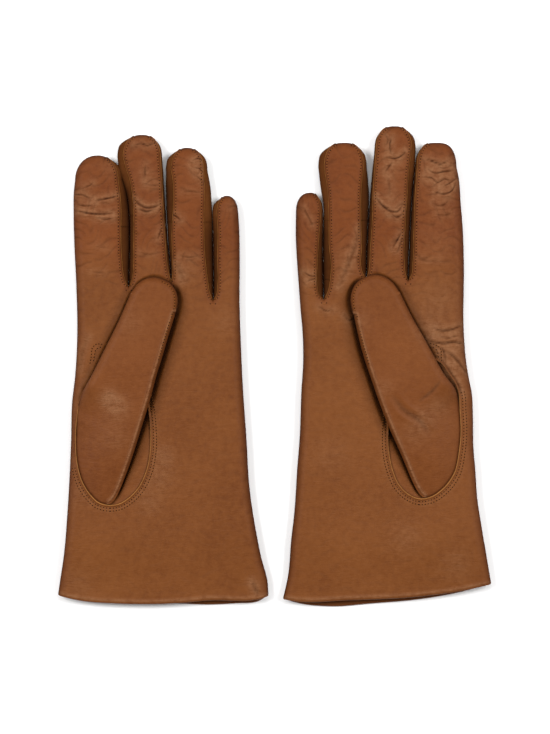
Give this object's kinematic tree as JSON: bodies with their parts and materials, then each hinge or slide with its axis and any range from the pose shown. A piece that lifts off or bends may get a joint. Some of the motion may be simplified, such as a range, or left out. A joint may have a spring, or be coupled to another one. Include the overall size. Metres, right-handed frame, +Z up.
{
  "type": "leather gloves",
  "caption": "Pair of plain tan leather dress gloves lying palm up, with fourchettes, quirks, oval-set thumbs, a turned hem and silk lining, jointed at thumbs and knuckles.",
  "frame": {"origin": "under the middle of the pair, on the surface that the gloves lie on", "axes": "+Z up out of the palms, +Y towards the fingertips, +X from the left glove to the right glove"},
  "size_m": [0.2404, 0.266, 0.02],
  "materials": {
    "leather": "smooth nappa leather, cognac tan, soft satin",
    "side_leather": "the same leather in the side strips, a little darker",
    "lining": "champagne silk knit",
    "thread": "tan waxed sewing thread"
  },
  "bodies": {
    "left_hand": {"left_trank": "leather", "left_forks_and_quirks": "side_leather", "left_thumb_root": "leather", "left_hand_lining": "lining"},
    "left_thumb": {"left_thumb": "leather", "left_thumb_lining": "lining"},
    "left_index_base": {"left_index_base_stall": "leather", "left_index_base_fourchettes": "side_leather", "left_index_base_lining": "lining"},
    "left_index_tip": {"left_index_tip_stall": "leather", "left_index_tip_fourchettes": "side_leather", "left_index_tip_lining": "lining"},
    "left_middle_base": {"left_middle_base_stall": "leather", "left_middle_base_fourchettes": "side_leather", "left_middle_base_lining": "lining"},
    "left_middle_tip": {"left_middle_tip_stall": "leather", "left_middle_tip_fourchettes": "side_leather", "left_middle_tip_lining": "lining"},
    "left_ring_base": {"left_ring_base_stall": "leather", "left_ring_base_fourchettes": "side_leather", "left_ring_base_lining": "lining"},
    "left_ring_tip": {"left_ring_tip_stall": "leather", "left_ring_tip_fourchettes": "side_leather", "left_ring_tip_lining": "lining"},
    "left_little_base": {"left_little_base_stall": "leather", "left_little_base_fourchettes": "side_leather", "left_little_base_lining": "lining"},
    "left_little_tip": {"left_little_tip_stall": "leather", "left_little_tip_fourchettes": "side_leather", "left_little_tip_lining": "lining"},
    "right_hand": {"right_trank": "leather", "right_forks_and_quirks": "side_leather", "right_thumb_root": "leather", "right_hand_lining": "lining"},
    "right_thumb": {"right_thumb": "leather", "right_thumb_lining": "lining"},
    "right_index_base": {"right_index_base_stall": "leather", "right_index_base_fourchettes": "side_leather", "right_index_base_lining": "lining"},
    "right_index_tip": {"right_index_tip_stall": "leather", "right_index_tip_fourchettes": "side_leather", "right_index_tip_lining": "lining"},
    "right_middle_base": {"right_middle_base_stall": "leather", "right_middle_base_fourchettes": "side_leather", "right_middle_base_lining": "lining"},
    "right_middle_tip": {"right_middle_tip_stall": "leather", "right_middle_tip_fourchettes": "side_leather", "right_middle_tip_lining": "lining"},
    "right_ring_base": {"right_ring_base_stall": "leather", "right_ring_base_fourchettes": "side_leather", "right_ring_base_lining": "lining"},
    "right_ring_tip": {"right_ring_tip_stall": "leather", "right_ring_tip_fourchettes": "side_leather", "right_ring_tip_lining": "lining"},
    "right_little_base": {"right_little_base_stall": "leather", "right_little_base_fourchettes": "side_leather", "right_little_base_lining": "lining"},
    "right_little_tip": {"right_little_tip_stall": "leather", "right_little_tip_fourchettes": "side_leather", "right_little_tip_lining": "lining"}
  },
  "joints": [
    {"name": "right_glove_slide", "type": "slide", "parent": "left_hand", "child": "right_hand", "axis": [1, 0, 0], "range_m": [0, 0.15]},
    {"name": "left_thumb_lift", "type": "hinge", "parent": "left_hand", "child": "left_thumb", "pos_m": [-0.0892, -0.019, 0.02], "axis": [0.9298, -0.3681, 0], "range_deg": [0, 75]},
    {"name": "left_index_root_knuckle", "type": "hinge", "parent": "left_hand", "child": "left_index_base", "pos_m": [-0.09647, 0.0525, 0.01], "axis": [0.9996, 0.0297, 0], "range_deg": [0, 90]},
    {"name": "left_index_mid_knuckle", "type": "hinge", "parent": "left_index_base", "child": "left_index_tip", "pos_m": [-0.09745, 0.08548, 0.01], "axis": [0.9996, 0.0297, 0], "range_deg": [0, 90]},
    {"name": "left_middle_root_knuckle", "type": "hinge", "parent": "left_hand", "child": "left_middle_base", "pos_m": [-0.06977, 0.05449, 0.01], "axis": [0.9986, 0.0523, 0], "range_deg": [0, 90]},
    {"name": "left_middle_mid_knuckle", "type": "hinge", "parent": "left_middle_base", "child": "left_middle_tip", "pos_m": [-0.07171, 0.09144, 0.01], "axis": [0.9986, 0.0523, 0], "range_deg": [0, 90]},
    {"name": "left_ring_root_knuckle", "type": "hinge", "parent": "left_hand", "child": "left_ring_base", "pos_m": [-0.04631, 0.053, 0.01], "axis": [0.9994, 0.0349, 0], "range_deg": [0, 90]},
    {"name": "left_ring_mid_knuckle", "type": "hinge", "parent": "left_ring_base", "child": "left_ring_tip", "pos_m": [-0.04754, 0.08797, 0.01], "axis": [0.9994, 0.0349, 0], "range_deg": [0, 90]},
    {"name": "left_little_root_knuckle", "type": "hinge", "parent": "left_hand", "child": "left_little_base", "pos_m": [-0.02666, 0.045, 0.01], "axis": [0.9998, 0.0175, 0], "range_deg": [0, 90]},
    {"name": "left_little_mid_knuckle", "type": "hinge", "parent": "left_little_base", "child": "left_little_tip", "pos_m": [-0.02706, 0.06799, 0.01], "axis": [0.9998, 0.0175, 0], "range_deg": [0, 90]},
    {"name": "right_thumb_lift", "type": "hinge", "parent": "right_hand", "child": "right_thumb", "pos_m": [0.081, -0.019, 0.02], "axis": [0.9157, 0.4019, 0], "range_deg": [0, 75]},
    {"name": "right_index_root_knuckle", "type": "hinge", "parent": "right_hand", "child": "right_index_base", "pos_m": [0.0915, 0.055, 0.01], "axis": [1, 0, 0], "range_deg": [0, 90]},
    {"name": "right_index_mid_knuckle", "type": "hinge", "parent": "right_index_base", "child": "right_index_tip", "pos_m": [0.0915, 0.088, 0.01], "axis": [1, 0, 0], "range_deg": [0, 90]},
    {"name": "right_middle_root_knuckle", "type": "hinge", "parent": "right_hand", "child": "right_middle_base", "pos_m": [0.06378, 0.057, 0.01], "axis": [0.9995, -0.0314, 0], "range_deg": [0, 90]},
    {"name": "right_middle_mid_knuckle", "type": "hinge", "parent": "right_middle_base", "child": "right_middle_tip", "pos_m": [0.06495, 0.09398, 0.01], "axis": [0.9995, -0.0314, 0], "range_deg": [0, 90]},
    {"name": "right_ring_root_knuckle", "type": "hinge", "parent": "right_hand", "child": "right_ring_base", "pos_m": [0.03902, 0.054, 0.01], "axis": [1, 0.0087, 0], "range_deg": [0, 90]},
    {"name": "right_ring_mid_knuckle", "type": "hinge", "parent": "right_ring_base", "child": "right_ring_tip", "pos_m": [0.03872, 0.089, 0.01], "axis": [1, 0.0087, 0], "range_deg": [0, 90]},
    {"name": "right_little_root_knuckle", "type": "hinge", "parent": "right_hand", "child": "right_little_base", "pos_m": [0.01916, 0.045, 0.01], "axis": [0.9997, 0.0262, 0], "range_deg": [0, 90]},
    {"name": "right_little_mid_knuckle", "type": "hinge", "parent": "right_little_base", "child": "right_little_tip", "pos_m": [0.01856, 0.06799, 0.01], "axis": [0.9997, 0.0262, 0], "range_deg": [0, 90]}
  ]
}
